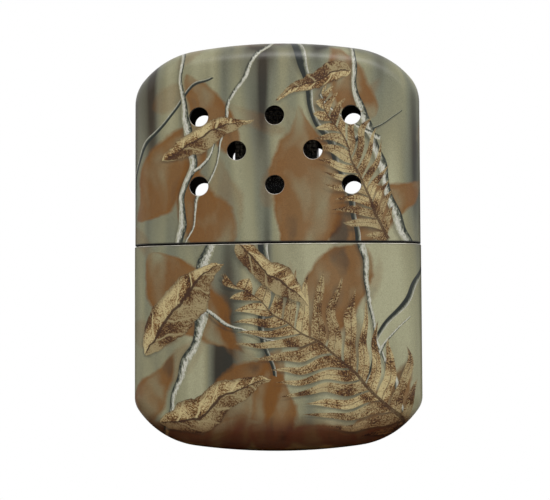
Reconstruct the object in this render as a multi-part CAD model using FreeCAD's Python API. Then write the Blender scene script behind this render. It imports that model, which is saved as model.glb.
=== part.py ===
import FreeCAD, Part
import math
import os
from collections import namedtuple

# Catalytic hand warmer, in millimetres. +Z is up, +X is to the right and the front faces -Y. The
# origin is under the middle of the case, at the level of its lowest point. Two drawn shells make
# the case: a tank that holds the fuel in a wad of cotton, and a lid with vents that slides up off
# the tank's collar. Between them a burner stands on the tank's filler neck, with a catalyst pad in
# an arched wire cage, and it pulls up off the neck when the tank is to be filled.

# ---- Case --------------------------------------------------------------------------------------
CASE_WIDTH = 69.0
CASE_DEPTH = 16.0
CASE_HEIGHT = 97.8
SEAM_HEIGHT = 49.1          # upper edge of the tank shell
FACE_BOW = 4.0              # how far the front and back bulge out from their sides to their middle
SIDE_FLAT = 0.6             # flat strip left on the sides between the two roundings of the rim
CROWN_RADIUS = 142.0        # bow of the top and bottom, seen from the front
CORNER_RADIUS = 20.4
TANK_HIP_EASE = 0.8         # the arc from a side into the corner is this much larger than the
LID_HIP_EASE = 4.4          # rounding of the rim, on the tank and on the lid
TANK_HIP_ANGLE = 35.0
LID_HIP_ANGLE = 41.0
TANK_WALL = 0.4
TANK_LIP_RADIUS = 0.2       # outer rounding of the tank shell's upper edge
LID_WALL = 0.4
LID_STEP = 0.1              # the lid stands this far inside the tank shell's outline
SEAM_GAP = 0.3              # between the lid's edge and the tank shell

# ---- Vents in the lid --------------------------------------------------------------------------
VENT_DIAMETER = 4.5
VENT_COLUMN_PITCH = 18.25
VENT_ROW_PITCH = 8.35
VENT_MIDDLE_RISE = 22.35    # middle row, above the seam
VENT_EDGE_RADIUS = 0.18     # rounding that the punch leaves on a vent's outer edge
LONG_ROW_COLUMNS = (-1.0, 0.0, 1.0)
SHORT_ROW_COLUMNS = (-0.5, 0.5)

# ---- Tank cover, with the collar that the lid slides on -----------------------------------------
COVER_WALL = 0.4
COVER_SKIRT = 6.4           # reach of the cover down inside the tank shell
COVER_RISE = 10.6           # collar's height above the seam
COVER_SHOULDER_RADIUS = 1.1
SOLDER_GAP = 0.03           # between the cover's skirt and the tank shell
LID_CLEARANCE = 0.12        # between the collar and the lid
DIMPLE_RADIUS = 1.5         # pressed ball dimples that grip the lid
DIMPLE_HEIGHT = 0.09
DIMPLE_SPACING = 44.0
DIMPLE_LEVEL = 5.2          # above the seam

# ---- Filler neck -------------------------------------------------------------------------------
NECK_WIDTH = 30.8
NECK_DEPTH = 10.6
NECK_WALL = 0.4
NECK_HEADROOM = 0.35        # between the neck's mouth and the rivet heads above it
NECK_FLANGE = 1.6           # foot flange, soldered under the cover's flat top

# ---- Cotton and felt ---------------------------------------------------------------------------
COTTON_CLEARANCE = 0.3
FELT_CLEARANCE = 0.3
FELT_THICKNESS = 4.0
FELT_SINK = 3.2             # how far the felt is sunk in the cotton

# ---- Burner base -------------------------------------------------------------------------------
BASE_WALL = 0.4
BASE_CLEARANCE = 0.1        # between the burner's skirt and the neck
BASE_SEAT_GAP = 0.1         # between the burner's skirt and the cover
BASE_HEIGHT = 6.1
BASE_SHOULDER_RADIUS = 0.8
SKIRT_BEAD_RADIUS = 0.35    # rolled bead at the skirt's foot
WINDOW_MARGIN = 0.8         # the base's window is this much smaller than the catalyst pad

# ---- Catalyst pad and its wire cage --------------------------------------------------------------
PAD_DEPTH = 7.0
CAGE_WIDTH = 19.7
CAGE_HEIGHT = 18.2          # above the grid
WIRE_DIAMETER = 0.28
WIRE_PITCH = 1.0
WIRE_CLEARANCE = 0.04
END_WALL = 0.25             # pressed plates in the cage's ends
END_FLANGE = 1.5
END_CLEARANCE = 0.04        # between the pad and the flanges of the end plates

# ---- Grid, bezel and rivets ----------------------------------------------------------------------
GRID_THICKNESS = 0.3
GRID_HOLE_DIAMETER = 1.3
GRID_HOLE_PITCH = 2.2
BEZEL_WALL = 0.4
BEZEL_HEIGHT = 1.8
BEZEL_CLEARANCE = 0.06
BEZEL_EAR = 3.8             # reach of the bezel's flange past its upstand, at each end
RIVET_SHANK_DIAMETER = 1.0
RIVET_HEAD_DIAMETER = 1.8
RIVET_HEAD_HEIGHT = 0.45
RIVET_SPACING_Y = 4.4
RIVET_CLEARANCE = 0.03

# ---- Levels and sizes that follow -----------------------------------------------------------------
FACE_RADIUS = (CASE_WIDTH ** 2 / 4 + FACE_BOW ** 2) / (2 * FACE_BOW)
BOW_AXIS = FACE_RADIUS - CASE_DEPTH / 2     # a face's axis lies this far behind the middle
RIM_RADIUS = ((FACE_RADIUS ** 2 - CASE_WIDTH ** 2 / 4 - (BOW_AXIS + SIDE_FLAT / 2) ** 2)
              / (2 * FACE_RADIUS - CASE_WIDTH))

COVER_TOP = SEAM_HEIGHT + COVER_RISE
COVER_UNDERSIDE = COVER_TOP - COVER_WALL
NECK_FLANGE_FOOT = COVER_UNDERSIDE - NECK_WALL
COTTON_TOP = NECK_FLANGE_FOOT - COTTON_CLEARANCE
BASE_FOOT = COVER_TOP + BASE_SEAT_GAP
BASE_TOP = BASE_FOOT + BASE_HEIGHT
NECK_TOP = BASE_TOP - BASE_WALL - RIVET_HEAD_HEIGHT - NECK_HEADROOM
GRID_TOP = BASE_TOP + GRID_THICKNESS
FLANGE_TOP = GRID_TOP + BEZEL_WALL

BASE_WIDTH = NECK_WIDTH + 2 * (BASE_CLEARANCE + BASE_WALL)
BASE_DEPTH = NECK_DEPTH + 2 * (BASE_CLEARANCE + BASE_WALL)
WARP_OFFSET = PAD_DEPTH / 2 + WIRE_CLEARANCE + WIRE_DIAMETER / 2    # wires up and over the arch
WEFT_OFFSET = WARP_OFFSET + WIRE_DIAMETER                           # wires across, outside them
CAGE_HALF_DEPTH = WEFT_OFFSET + WIRE_DIAMETER / 2
PAD_WIDTH = CAGE_WIDTH - 2 * (END_WALL + END_FLANGE + END_CLEARANCE)
ARCH_CENTRE = GRID_TOP + CAGE_HEIGHT - CAGE_HALF_DEPTH
BEZEL_INNER_WIDTH = CAGE_WIDTH + 2 * BEZEL_CLEARANCE
BEZEL_INNER_DEPTH = 2 * (CAGE_HALF_DEPTH + BEZEL_CLEARANCE)
BEZEL_DEPTH = BEZEL_INNER_DEPTH + 2 * BEZEL_WALL
FLANGE_WIDTH = BEZEL_INNER_WIDTH + 2 * (BEZEL_WALL + BEZEL_EAR)
RIVET_X = BEZEL_INNER_WIDTH / 2 + BEZEL_WALL + BEZEL_EAR / 2 - RIVET_CLEARANCE

# A drawn cup of the case, seen with its mouth at z = 0 and its crown at z = height.
Cup = namedtuple("Cup", "width depth face_radius rim_radius height hip_radius hip_angle")

TANK = Cup(CASE_WIDTH, CASE_DEPTH, FACE_RADIUS, RIM_RADIUS, SEAM_HEIGHT,
           RIM_RADIUS + TANK_HIP_EASE, TANK_HIP_ANGLE)
LID = Cup(CASE_WIDTH - 2 * LID_STEP, CASE_DEPTH - 2 * LID_STEP, FACE_RADIUS - LID_STEP,
          RIM_RADIUS - LID_STEP, CASE_HEIGHT - SEAM_HEIGHT, RIM_RADIUS + LID_HIP_EASE, LID_HIP_ANGLE)

BEYOND = 1.0                # how far a cutting tool runs past what it cuts


def point(x, y, z):
    return FreeCAD.Vector(x, y, z)


def polar(centre_x, centre_z, radius, angle):
    """A point on a circle in the XZ plane; angle is in radians from +X."""
    return point(centre_x + radius * math.cos(angle), 0, centre_z + radius * math.sin(angle))


def arc(centre_x, centre_z, radius, start, end):
    """An edge on a circle in the XZ plane."""
    middle = (start + end) / 2
    return Part.Arc(polar(centre_x, centre_z, radius, start), polar(centre_x, centre_z, radius, middle),
                    polar(centre_x, centre_z, radius, end)).toShape()


def line(a, b):
    return Part.LineSegment(a, b).toShape()


def fuse(shapes):
    """One solid from overlapping ones."""
    return shapes[0].multiFuse(shapes[1:]).removeSplitter()


# ---- Case forms ----------------------------------------------------------------------------------
def bowed_prism(cup, inset, bottom, top):
    """The case's section seen from above, with sharp upright edges: two bowed faces and flat sides."""
    half_width = cup.width / 2 - inset
    half_depth = cup.depth / 2 - inset
    radius = cup.face_radius - inset
    edge_y = half_depth - radius + math.sqrt(radius ** 2 - half_width ** 2)
    front = Part.Arc(point(-half_width, -edge_y, bottom), point(0, -half_depth, bottom),
                     point(half_width, -edge_y, bottom)).toShape()
    right = line(point(half_width, -edge_y, bottom), point(half_width, edge_y, bottom))
    back = Part.Arc(point(half_width, edge_y, bottom), point(0, half_depth, bottom),
                    point(-half_width, edge_y, bottom)).toShape()
    left = line(point(-half_width, edge_y, bottom), point(-half_width, -edge_y, bottom))
    outline = Part.Wire([front, right, back, left])
    return Part.Face(outline).extrude(point(0, 0, top - bottom))


def domed_prism(cup, inset):
    """The cup's outline seen from the front, run through the depth. Each side goes through a small
    hip arc and a corner arc into the flat crown arc, and each arc is tangent to the next."""
    hip = math.radians(cup.hip_angle)
    hip_x = cup.width / 2 - cup.hip_radius
    corner_x = hip_x - (CORNER_RADIUS - cup.hip_radius) * math.cos(hip)
    crown_z = cup.height - CROWN_RADIUS
    corner_z = crown_z + math.sqrt((CROWN_RADIUS - CORNER_RADIUS) ** 2 - corner_x ** 2)
    hip_z = corner_z + (CORNER_RADIUS - cup.hip_radius) * math.sin(hip)
    crown = math.atan2(corner_z - crown_z, corner_x)
    side_x = cup.width / 2 - inset
    edges = [
        line(point(side_x, 0, 0), point(side_x, 0, hip_z)),
        arc(hip_x, hip_z, cup.hip_radius - inset, 0, hip),
        arc(corner_x, corner_z, CORNER_RADIUS - inset, hip, crown),
        arc(0, crown_z, CROWN_RADIUS - inset, crown, math.pi - crown),
        arc(-corner_x, corner_z, CORNER_RADIUS - inset, math.pi - crown, math.pi - hip),
        arc(-hip_x, hip_z, cup.hip_radius - inset, math.pi - hip, math.pi),
        line(point(-side_x, 0, hip_z), point(-side_x, 0, 0)),
        line(point(-side_x, 0, 0), point(side_x, 0, 0)),
    ]
    face = Part.Face(Part.Wire(edges))
    face.translate(point(0, -cup.depth, 0))
    return face.extrude(point(0, 2 * cup.depth, 0))


def face_edges(solid):
    """The edges round the two bowed faces, apart from those in a flat mouth or end."""
    found = []
    for face in solid.Faces:
        bowed = isinstance(face.Surface, Part.Cylinder) and abs(face.Surface.Axis.z) > 0.99
        if not bowed:
            continue
        for edge in face.Edges:
            box = edge.BoundBox
            if box.ZLength > 0.001 * edge.Length:
                found.append(edge)
    return found


def rounded_section(cup, inset, bottom, top):
    """A straight block with the case's section and rounded upright edges."""
    block = bowed_prism(cup, inset, bottom, top)
    return block.makeFillet(cup.rim_radius - inset, face_edges(block))


def cup_block(cup, inset):
    """The cup as a filled form, inset from its outside, with its mouth at z = 0."""
    block = bowed_prism(cup, inset, 0, cup.height + BEYOND).common(domed_prism(cup, inset))
    block = block.Solids[0]
    rims = [edge for edge in face_edges(block) if edge.BoundBox.ZMax > 0.001]
    return block.makeFillet(cup.rim_radius - inset, rims)


def stadium(width, depth, bottom, top):
    """A block with straight long sides and half-round ends."""
    radius = depth / 2
    reach = width / 2 - radius
    edges = [
        line(point(-reach, -radius, bottom), point(reach, -radius, bottom)),
        Part.Arc(point(reach, -radius, bottom), point(width / 2, 0, bottom),
                 point(reach, radius, bottom)).toShape(),
        line(point(reach, radius, bottom), point(-reach, radius, bottom)),
        Part.Arc(point(-reach, radius, bottom), point(-width / 2, 0, bottom),
                 point(-reach, -radius, bottom)).toShape(),
    ]
    return Part.Face(Part.Wire(edges)).extrude(point(0, 0, top - bottom))


def box(width, depth, bottom, top):
    """A block centred on the Z axis."""
    return Part.makeBox(width, depth, top - bottom, point(-width / 2, -depth / 2, bottom))


def level_edges(solid, level):
    """The edges that lie at one height."""
    return [edge for edge in solid.Edges
            if abs(edge.BoundBox.ZMin - level) < 0.001 and abs(edge.BoundBox.ZMax - level) < 0.001]


def round_top(solid, level, radius):
    return solid.makeFillet(radius, level_edges(solid, level))


def mirror_down(solid):
    """Turns a cup over, so that its mouth faces up at the seam."""
    turned = solid.mirror(point(0, 0, 0), point(0, 0, 1))
    turned.translate(point(0, 0, SEAM_HEIGHT))
    return turned


# ---- Case pieces -----------------------------------------------------------------------------------
def tank_shell():
    outside = mirror_down(cup_block(TANK, 0))
    outside = round_top(outside, SEAM_HEIGHT, TANK_LIP_RADIUS)
    return outside.cut(mirror_down(cup_block(TANK, TANK_WALL)))


def vent_places():
    """Vent centres as (x, z): a row of three, a row of two between them, and a row of three."""
    rows = ((1, LONG_ROW_COLUMNS), (0, SHORT_ROW_COLUMNS), (-1, LONG_ROW_COLUMNS))
    middle = SEAM_HEIGHT + VENT_MIDDLE_RISE
    return [(column * VENT_COLUMN_PITCH, middle + row * VENT_ROW_PITCH)
            for row, columns in rows for column in columns]


def lid_shell():
    shell = cup_block(LID, 0).cut(cup_block(LID, LID_WALL))
    shell = shell.cut(box(LID.width + BEYOND, LID.depth + BEYOND, -BEYOND, SEAM_GAP))
    shell.translate(point(0, 0, SEAM_HEIGHT))
    vents = [Part.makeCylinder(VENT_DIAMETER / 2, 2 * CASE_DEPTH, point(x, -CASE_DEPTH, z), point(0, 1, 0))
             for x, z in vent_places()]
    shell = shell.cut(vents)
    return shell.makeFillet(VENT_EDGE_RADIUS, vent_edges(shell))


def vent_edges(shell):
    """The edge round each vent on the outside of the lid."""
    found = []
    for face in shell.Faces:
        across = isinstance(face.Surface, Part.Cylinder) and abs(face.Surface.Axis.y) > 0.99
        if across and abs(face.Surface.Radius - VENT_DIAMETER / 2) < 0.001:
            rings = [edge for edge in face.Edges if edge.isClosed()]
            found.append(max(rings, key=lambda edge: abs(edge.CenterOfMass.y)))
    return found


def cover_form(wall):
    """The cover's outer form for wall = 0, or its hollow for wall = COVER_WALL: a skirt that fills
    the tank shell's mouth and, above a small joggle, the collar that the lid slides on."""
    skirt_inset = TANK_WALL + SOLDER_GAP + wall
    collar_inset = LID_WALL + LID_CLEARANCE + wall
    foot = SEAM_HEIGHT - COVER_SKIRT
    skirt = rounded_section(TANK, skirt_inset, foot - wall, SEAM_HEIGHT - wall)
    collar = rounded_section(LID, collar_inset, foot, COVER_TOP - wall)
    collar = round_top(collar, COVER_TOP - wall, COVER_SHOULDER_RADIUS - wall)
    return fuse([skirt, collar])


def grip_dimples():
    """Ball dimples on the collar's front and back, each square to the bowed face it stands on."""
    radius = LID.face_radius - LID_WALL - LID_CLEARANCE
    turn = math.asin(DIMPLE_SPACING / 2 / radius)
    reach = radius + DIMPLE_HEIGHT - DIMPLE_RADIUS
    x = reach * math.sin(turn)
    y = reach * math.cos(turn) - BOW_AXIS
    return [Part.makeSphere(DIMPLE_RADIUS, point(side * x, face * y, SEAM_HEIGHT + DIMPLE_LEVEL))
            for side in (-1, 1) for face in (-1, 1)]


def tank_cover():
    collar = fuse([cover_form(0)] + grip_dimples())
    cover = collar.cut(cover_form(COVER_WALL))
    return cover.cut(stadium(NECK_WIDTH, NECK_DEPTH, COVER_UNDERSIDE - BEYOND, COVER_TOP + BEYOND))


def filler_neck():
    """An oblong tube with a foot flange, which is trimmed to the flat part of the cover's top."""
    tube = stadium(NECK_WIDTH, NECK_DEPTH, NECK_FLANGE_FOOT, NECK_TOP)
    flange = stadium(NECK_WIDTH + 2 * NECK_FLANGE, NECK_DEPTH + 2 * NECK_FLANGE,
                     NECK_FLANGE_FOOT, COVER_UNDERSIDE)
    flat_inset = LID_WALL + LID_CLEARANCE + COVER_SHOULDER_RADIUS
    flange = flange.common(rounded_section(LID, flat_inset, NECK_FLANGE_FOOT, COVER_UNDERSIDE)).Solids[0]
    bore = stadium(NECK_WIDTH - 2 * NECK_WALL, NECK_DEPTH - 2 * NECK_WALL,
                   NECK_FLANGE_FOOT - BEYOND, NECK_TOP + BEYOND)
    return fuse([tube, flange]).cut(bore)


def felt_form(clearance):
    """The felt's block, or the pocket for it in the cotton with that clearance all round."""
    width = NECK_WIDTH - 2 * (NECK_WALL + FELT_CLEARANCE)
    depth = NECK_DEPTH - 2 * (NECK_WALL + FELT_CLEARANCE)
    bottom = COTTON_TOP - FELT_SINK
    return stadium(width + 2 * clearance, depth + 2 * clearance, bottom - clearance, bottom + FELT_THICKNESS)


def felt_pad():
    return felt_form(0)


def fuel_cotton():
    """The cotton wad, which fills the tank and leaves room for the cover's skirt."""
    in_tank = mirror_down(cup_block(TANK, TANK_WALL + COTTON_CLEARANCE))
    inset = TANK_WALL + SOLDER_GAP + COVER_WALL + COTTON_CLEARANCE
    joggle = SEAM_HEIGHT - COVER_WALL - COTTON_CLEARANCE
    lower = rounded_section(TANK, inset, 0, joggle).common(in_tank)
    upper_inset = LID_WALL + LID_CLEARANCE + COVER_WALL + COTTON_CLEARANCE
    upper = rounded_section(LID, upper_inset, SEAM_HEIGHT - COVER_SKIRT, COTTON_TOP)
    return fuse([lower.Solids[0], upper]).cut(felt_form(COTTON_CLEARANCE / 2))


# ---- Burner pieces -----------------------------------------------------------------------------------
def rivet_places():
    return [(side * RIVET_X, face * RIVET_SPACING_Y / 2) for side in (-1, 1) for face in (-1, 1)]


def rivet_holes(bottom, top):
    radius = RIVET_SHANK_DIAMETER / 2 + RIVET_CLEARANCE
    return [Part.makeCylinder(radius, top - bottom + 2 * BEYOND, point(x, y, bottom - BEYOND))
            for x, y in rivet_places()]


def burner_base():
    """The plated cap that fits over the neck: a skirt with a rolled foot bead and a windowed top."""
    outside = round_top(stadium(BASE_WIDTH, BASE_DEPTH, BASE_FOOT, BASE_TOP), BASE_TOP, BASE_SHOULDER_RADIUS)
    bead_reach = 2 * SKIRT_BEAD_RADIUS
    bead = stadium(BASE_WIDTH + bead_reach, BASE_DEPTH + bead_reach, BASE_FOOT, BASE_FOOT + bead_reach)
    bead = bead.makeFillet(0.9 * SKIRT_BEAD_RADIUS,
                           level_edges(bead, BASE_FOOT) + level_edges(bead, BASE_FOOT + bead_reach))
    inner_top = BASE_TOP - BASE_WALL
    hollow = stadium(BASE_WIDTH - 2 * BASE_WALL, BASE_DEPTH - 2 * BASE_WALL, BASE_FOOT, inner_top)
    hollow = round_top(hollow, inner_top, BASE_SHOULDER_RADIUS - BASE_WALL)
    window = box(PAD_WIDTH - 2 * WINDOW_MARGIN, PAD_DEPTH - 2 * WINDOW_MARGIN,
                 inner_top - BEYOND, BASE_TOP + BEYOND)
    base = fuse([outside, bead]).cut([hollow, window])
    return base.cut(rivet_holes(inner_top, BASE_TOP))


def catalyst_grid():
    """A perforated plate on the burner base, under the catalyst pad."""
    plate = stadium(FLANGE_WIDTH, BEZEL_DEPTH, BASE_TOP, GRID_TOP)
    columns = int((PAD_WIDTH - 2 * WINDOW_MARGIN - GRID_HOLE_DIAMETER) / GRID_HOLE_PITCH) + 1
    rows = int((PAD_DEPTH - 2 * WINDOW_MARGIN - GRID_HOLE_DIAMETER) / GRID_HOLE_PITCH) + 1
    holes = []
    for i in range(columns):
        for j in range(rows):
            x = (i - (columns - 1) / 2) * GRID_HOLE_PITCH
            y = (j - (rows - 1) / 2) * GRID_HOLE_PITCH
            holes.append(Part.makeCylinder(GRID_HOLE_DIAMETER / 2, GRID_THICKNESS + 2 * BEYOND,
                                           point(x, y, BASE_TOP - BEYOND)))
    return plate.cut(holes + rivet_holes(BASE_TOP, GRID_TOP))


def burner_bezel():
    """The frame that clamps the cage's foot: a riveted flange with an upstand round the cage."""
    flange = stadium(FLANGE_WIDTH, BEZEL_DEPTH, GRID_TOP, FLANGE_TOP)
    upstand = box(BEZEL_INNER_WIDTH + 2 * BEZEL_WALL, BEZEL_DEPTH, GRID_TOP, GRID_TOP + BEZEL_HEIGHT)
    hollow = box(BEZEL_INNER_WIDTH, BEZEL_INNER_DEPTH, GRID_TOP - BEYOND, GRID_TOP + BEZEL_HEIGHT + BEYOND)
    return fuse([flange, upstand]).cut([hollow] + rivet_holes(GRID_TOP, FLANGE_TOP))


def bezel_rivets():
    """Four rivets through the bezel, the grid and the burner base, with a head at each end."""
    foot = BASE_TOP - BASE_WALL
    rivets = []
    for x, y in rivet_places():
        shank = Part.makeCylinder(RIVET_SHANK_DIAMETER / 2, FLANGE_TOP - foot, point(x, y, foot))
        heads = [rivet_head(x, y, FLANGE_TOP, 1), rivet_head(x, y, foot, -1)]
        rivets.append(fuse([shank] + heads))
    return Part.Compound(rivets)


def rivet_head(x, y, level, up):
    """A low dome that stands on a level and points up (1) or down (-1)."""
    half = RIVET_HEAD_DIAMETER / 2
    ball = (half ** 2 + RIVET_HEAD_HEIGHT ** 2) / (2 * RIVET_HEAD_HEIGHT)
    centre = level + up * (RIVET_HEAD_HEIGHT - ball)
    slab = Part.makeBox(RIVET_HEAD_DIAMETER + BEYOND, RIVET_HEAD_DIAMETER + BEYOND, RIVET_HEAD_HEIGHT)
    slab.translate(point(x - (RIVET_HEAD_DIAMETER + BEYOND) / 2, y - (RIVET_HEAD_DIAMETER + BEYOND) / 2,
                         min(level, level + up * RIVET_HEAD_HEIGHT)))
    return Part.makeSphere(ball, point(x, y, centre)).common(slab).Solids[0]


def arch_edges(x, offset):
    """An arch in a plane across X, this far out from the cage's middle: up, over and down."""
    front_foot = point(x, -offset, GRID_TOP)
    front_spring = point(x, -offset, ARCH_CENTRE)
    crown = point(x, 0, ARCH_CENTRE + offset)
    back_spring = point(x, offset, ARCH_CENTRE)
    back_foot = point(x, offset, GRID_TOP)
    return [line(front_foot, front_spring), Part.Arc(front_spring, crown, back_spring).toShape(),
            line(back_spring, back_foot)]


def arch_block(left, right, offset):
    """A solid arch between two places in X, standing on the grid."""
    edges = arch_edges(left, offset)
    foot = line(point(left, offset, GRID_TOP), point(left, -offset, GRID_TOP))
    return Part.Face(Part.Wire(edges + [foot])).extrude(point(right - left, 0, 0))


def catalyst_pad():
    return arch_block(-PAD_WIDTH / 2, PAD_WIDTH / 2, PAD_DEPTH / 2)


def evenly_spaced(first, last, pitch):
    """Places from first to last, as near to the pitch as comes out even."""
    count = max(1, round((last - first) / pitch))
    return [first + (last - first) * i / count for i in range(count + 1)]


def wire_cage():
    """Wire cloth bent into an arch: wires up and over it, and wires across them on the outside."""
    radius = WIRE_DIAMETER / 2
    reach = CAGE_WIDTH / 2 - radius
    wires = []
    for x in evenly_spaced(-reach, reach, WIRE_PITCH):
        path = Part.Wire(arch_edges(x, WARP_OFFSET))
        section = Part.Wire(Part.makeCircle(radius, point(x, -WARP_OFFSET, GRID_TOP), point(0, 0, 1)))
        wires.append(path.makePipeShell([section], True, True))
    straight = ARCH_CENTRE - GRID_TOP
    over = math.pi * WEFT_OFFSET
    for along in evenly_spaced(radius, 2 * straight + over - radius, WIRE_PITCH):
        y, z = arch_place(along, straight, over)
        wires.append(Part.makeCylinder(radius, CAGE_WIDTH, point(-CAGE_WIDTH / 2, y, z), point(1, 0, 0)))
    return Part.Compound(wires)


def arch_place(along, straight, over):
    """(y, z) at a length along the outer arch, from its front foot."""
    if along < straight:
        return -WEFT_OFFSET, GRID_TOP + along
    if along > straight + over:
        return WEFT_OFFSET, GRID_TOP + 2 * straight + over - along
    angle = math.pi * (along - straight) / over
    return -WEFT_OFFSET * math.cos(angle), ARCH_CENTRE + WEFT_OFFSET * math.sin(angle)


def cage_end(side):
    """A pressed plate that closes one end of the cage, with a flange turned in under the wires."""
    outer = CAGE_WIDTH / 2
    inner = outer - END_WALL
    flange = inner - END_FLANGE
    low, high = sorted((side * flange, side * outer))
    plate = arch_block(low, high, PAD_DEPTH / 2)
    low, high = sorted((side * (flange - BEYOND), side * inner))
    return plate.cut(arch_block(low, high, PAD_DEPTH / 2 - END_WALL))


def cage_end_left():
    return cage_end(-1)


def cage_end_right():
    return cage_end(1)


NODES = (
    tank_shell,
    tank_cover,
    filler_neck,
    fuel_cotton,
    felt_pad,
    lid_shell,
    burner_base,
    catalyst_grid,
    burner_bezel,
    bezel_rivets,
    catalyst_pad,
    wire_cage,
    cage_end_left,
    cage_end_right,
)


def main():
    os.makedirs("parts", exist_ok=True)
    for node in NODES:
        shape = node()
        shape.exportStep(os.path.join("parts", node.__name__ + ".step"))
        print(node.__name__, len(shape.Solids), "solids,", round(shape.Volume, 1), "mm3,",
              "valid" if shape.isValid() else "NOT VALID")


main()
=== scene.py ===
"""The looks of a catalytic hand warmer: film-printed case, plated fittings, wire cage and padding.

The case is two drawn steel cups dipped in one matt camouflage film each, so their patterns don't
meet at the seam. Where the film has no hold, on the punched vent edges and the tank's lip, bare
metal shows. Inside the lid a wire cage holds the catalyst over the filler neck.
"""

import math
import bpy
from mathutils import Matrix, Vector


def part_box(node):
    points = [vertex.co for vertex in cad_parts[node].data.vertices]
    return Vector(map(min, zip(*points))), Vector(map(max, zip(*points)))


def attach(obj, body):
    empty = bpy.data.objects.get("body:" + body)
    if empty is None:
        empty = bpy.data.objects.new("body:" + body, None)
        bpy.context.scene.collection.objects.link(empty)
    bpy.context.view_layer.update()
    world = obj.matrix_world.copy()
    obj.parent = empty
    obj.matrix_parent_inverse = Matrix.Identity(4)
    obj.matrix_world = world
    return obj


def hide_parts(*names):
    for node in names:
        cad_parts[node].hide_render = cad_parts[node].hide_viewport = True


bl_info = {
    "name": "Catalytic Hand Warmer",
    "version": (1, 0, 0),
    "blender": (4, 5, 0),
    "location": "3D Viewport > Sidebar > Hand Warmer",
    "description": "Finishes a pocket hand warmer: printed case, burner, wire cage and padding",
    "category": "Object",
}

import bmesh
import bpy
from bpy.props import FloatProperty, FloatVectorProperty, PointerProperty
from mathutils import Matrix, Vector, noise

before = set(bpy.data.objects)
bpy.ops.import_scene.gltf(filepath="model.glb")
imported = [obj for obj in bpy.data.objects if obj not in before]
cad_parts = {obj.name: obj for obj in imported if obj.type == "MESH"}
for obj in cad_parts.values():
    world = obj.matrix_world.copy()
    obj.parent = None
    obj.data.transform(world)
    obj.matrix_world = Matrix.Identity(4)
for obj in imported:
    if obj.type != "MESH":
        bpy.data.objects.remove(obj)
MM = 0.001
SEAM = 49.1                 # height of the seam between tank and lid, in mm
SEAM_SHADE = (49.6, 50.0)        # heights in mm between which the painted shade at the seam fades out


def srgb(code):
    """An sRGB hex colour as linear red, green and blue."""
    channels = [int(code[i:i + 2], 16) / 255 for i in (1, 3, 5)]
    return [c / 12.92 if c <= 0.04045 else ((c + 0.055) / 1.055) ** 2.4 for c in channels]


def swatch(label, note, code):
    """A colour that a user can change."""
    return FloatVectorProperty(name=label, description=note, subtype="COLOR", min=0, max=1,
                               default=srgb(code))


# ---- Sizes and colours a user would change -----------------------------------------------------------
class FilmSettings(bpy.types.PropertyGroup):
    """The camouflage film on the case."""

    haze_pale: swatch("Pale Haze", "Lightest ground of the film", "#a5a384")
    haze_khaki: swatch("Khaki Haze", "Main ground of the film", "#8b896c")
    haze_sage: swatch("Sage Haze", "Grey-green ground of the film", "#6f715f")
    haze_dark: swatch("Dark Haze", "Shaded trunks in the ground", "#2a2921")
    rust: swatch("Rust Leaf", "Soft fallen leaves", "#754912")
    rust_dark: swatch("Dark Rust", "Shaded part of the fallen leaves, and the flecks", "#3a200d")
    straw: swatch("Straw", "Crisp dry leaves and fronds", "#c0af80")
    stem_pale: swatch("Pale Stem", "Lit side of the stems", "#cdcbbf")
    stem_dark: swatch("Dark Stem", "Shaded side of the stems", "#1f2420")
    # Darkens the foot: a printed leaf-litter tone that is also painted shade under the case's lower rounding.
    litter_and_shade: swatch("Leaf Litter", "Tint that darkens the foot of the case", "#a46f30")
    band_width: FloatProperty(
        name="Haze Band Width", description="Width of the soft upright bands, in millimetres",
        min=1, max=40, default=9)
    fleck_size: FloatProperty(
        name="Fleck Size", description="Size of the flecks on dry leaves, in millimetres",
        min=0.1, max=3, default=0.35)


class MetalSettings(bpy.types.PropertyGroup):
    """Bare and plated metal."""

    bare: swatch("Bare Edge", "Steel where the film is missing", "#d9d3c8")
    oxide: swatch("Heat Oxide", "Tinted steel inside the lid", "#2b241e")
    # Painted shade: this colour darkens the seam's gap, the lid's lower edge, the collar below the seam and
    # the vents' downward-facing upper edges.
    painted_shade: swatch("Soot", "Soot and grime at the seam and on the vents' upper edges", "#0a0807")
    nickel: swatch("Nickel", "Dull plate on the tank cover and filler neck", "#b5b0a6")
    chrome: swatch("Chrome", "Bright plate on the burner", "#c9cacc")
    steel: swatch("Stainless Steel", "Grid, rivets and cage ends", "#a7a29a")
    wire: swatch("Cage Wire", "Stainless wire darkened by heat", "#736d64")


class FibreSettings(bpy.types.PropertyGroup):
    """Padding and wire cloth."""

    glass: swatch("Glass Fibre", "Catalyst mat", "#3f3b37")
    cotton: swatch("Cotton", "Fuel wad", "#e8e4d9")
    felt: swatch("Felt", "Pad under the neck", "#cbc4b2")
    wire_pitch: FloatProperty(
        name="Wire Pitch", description="Spacing of the cage's wires, in millimetres",
        min=0.6, max=4, default=1.0)
    wire_thickness: FloatProperty(
        name="Wire Thickness", description="Diameter of the cage's wires, in millimetres",
        min=0.1, max=0.6, default=0.28)


class StageSettings(bpy.types.PropertyGroup):
    """Camera, floor and light."""

    azimuth: FloatProperty(
        name="Azimuth", description="Camera's turn round the warmer",
        subtype="ANGLE", default=math.radians(4.40))
    elevation: FloatProperty(
        name="Elevation", description="Camera's height as an angle",
        subtype="ANGLE", default=math.radians(-5.12))
    distance: FloatProperty(
        name="Distance", description="Camera to the middle of the seam",
        subtype="DISTANCE", default=0.583)
    lens: FloatProperty(
        name="Lens", description="Focal length in millimetres on a 36 mm sensor",
        min=10, max=500, default=158.5)
    floor: swatch("Floor", "Colour of the floor", "#f2f2f0")
    key: FloatProperty(
        name="Key Light", description="Power of the wide light above the camera, in watts",
        subtype="POWER", min=0, default=7.1)
    side: FloatProperty(
        name="Side Light", description="Power of the weak light on the right, in watts",
        subtype="POWER", min=0, default=1.6)
    sky: FloatProperty(
        name="Surround", description="Strength of the soft light from all round",
        min=0, max=2, default=0.20)


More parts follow.
